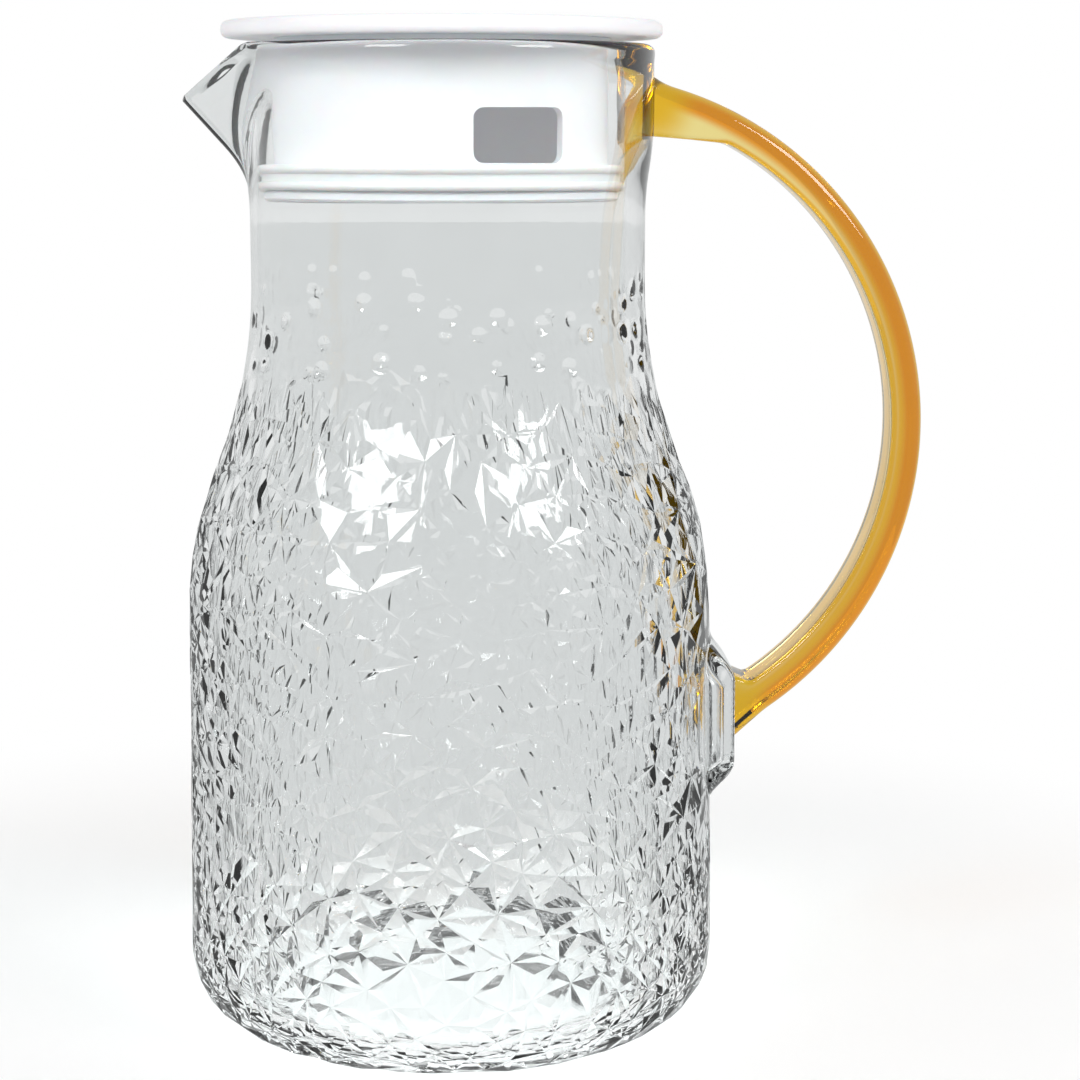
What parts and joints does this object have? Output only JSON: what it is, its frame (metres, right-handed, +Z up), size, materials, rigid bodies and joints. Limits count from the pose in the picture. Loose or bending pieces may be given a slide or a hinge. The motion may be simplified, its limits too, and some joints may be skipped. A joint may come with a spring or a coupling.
{
  "type": "pitcher",
  "caption": "Clear faceted plastic water jug with a beak spout, an amber strap handle and a white turning lid whose open-bottomed plug has a pour window and a seal ring.",
  "frame": {"origin": "middle of the base, on the surface that the jug stands on", "axes": "+Z up along the jug, -X toward the spout, +X toward the handle, -Y is the front"},
  "size_m": [0.1718, 0.124, 0.2324],
  "materials": {
    "clear_plastic": "clear, moulded facets, smooth neck",
    "amber_plastic": "clear amber, polished",
    "white_plastic": "white, smooth",
    "silicone": "milky, smooth"
  },
  "bodies": {
    "jug": {"jug_body": "clear_plastic", "handle": "amber_plastic"},
    "seal": {"seal_ring": "silicone"},
    "lid": {"lid_cover": "white_plastic", "lid_collar": "white_plastic"}
  },
  "joints": [
    {"name": "lid_lift", "type": "slide", "parent": "jug", "child": "seal", "axis": [0, 0, 1], "range_m": [0, 0.05]},
    {"name": "lid_turn", "type": "hinge", "parent": "seal", "child": "lid", "pos_m": [-0.0011, 0, 0.2], "axis": [0, 0, 1], "continuous": true}
  ]
}
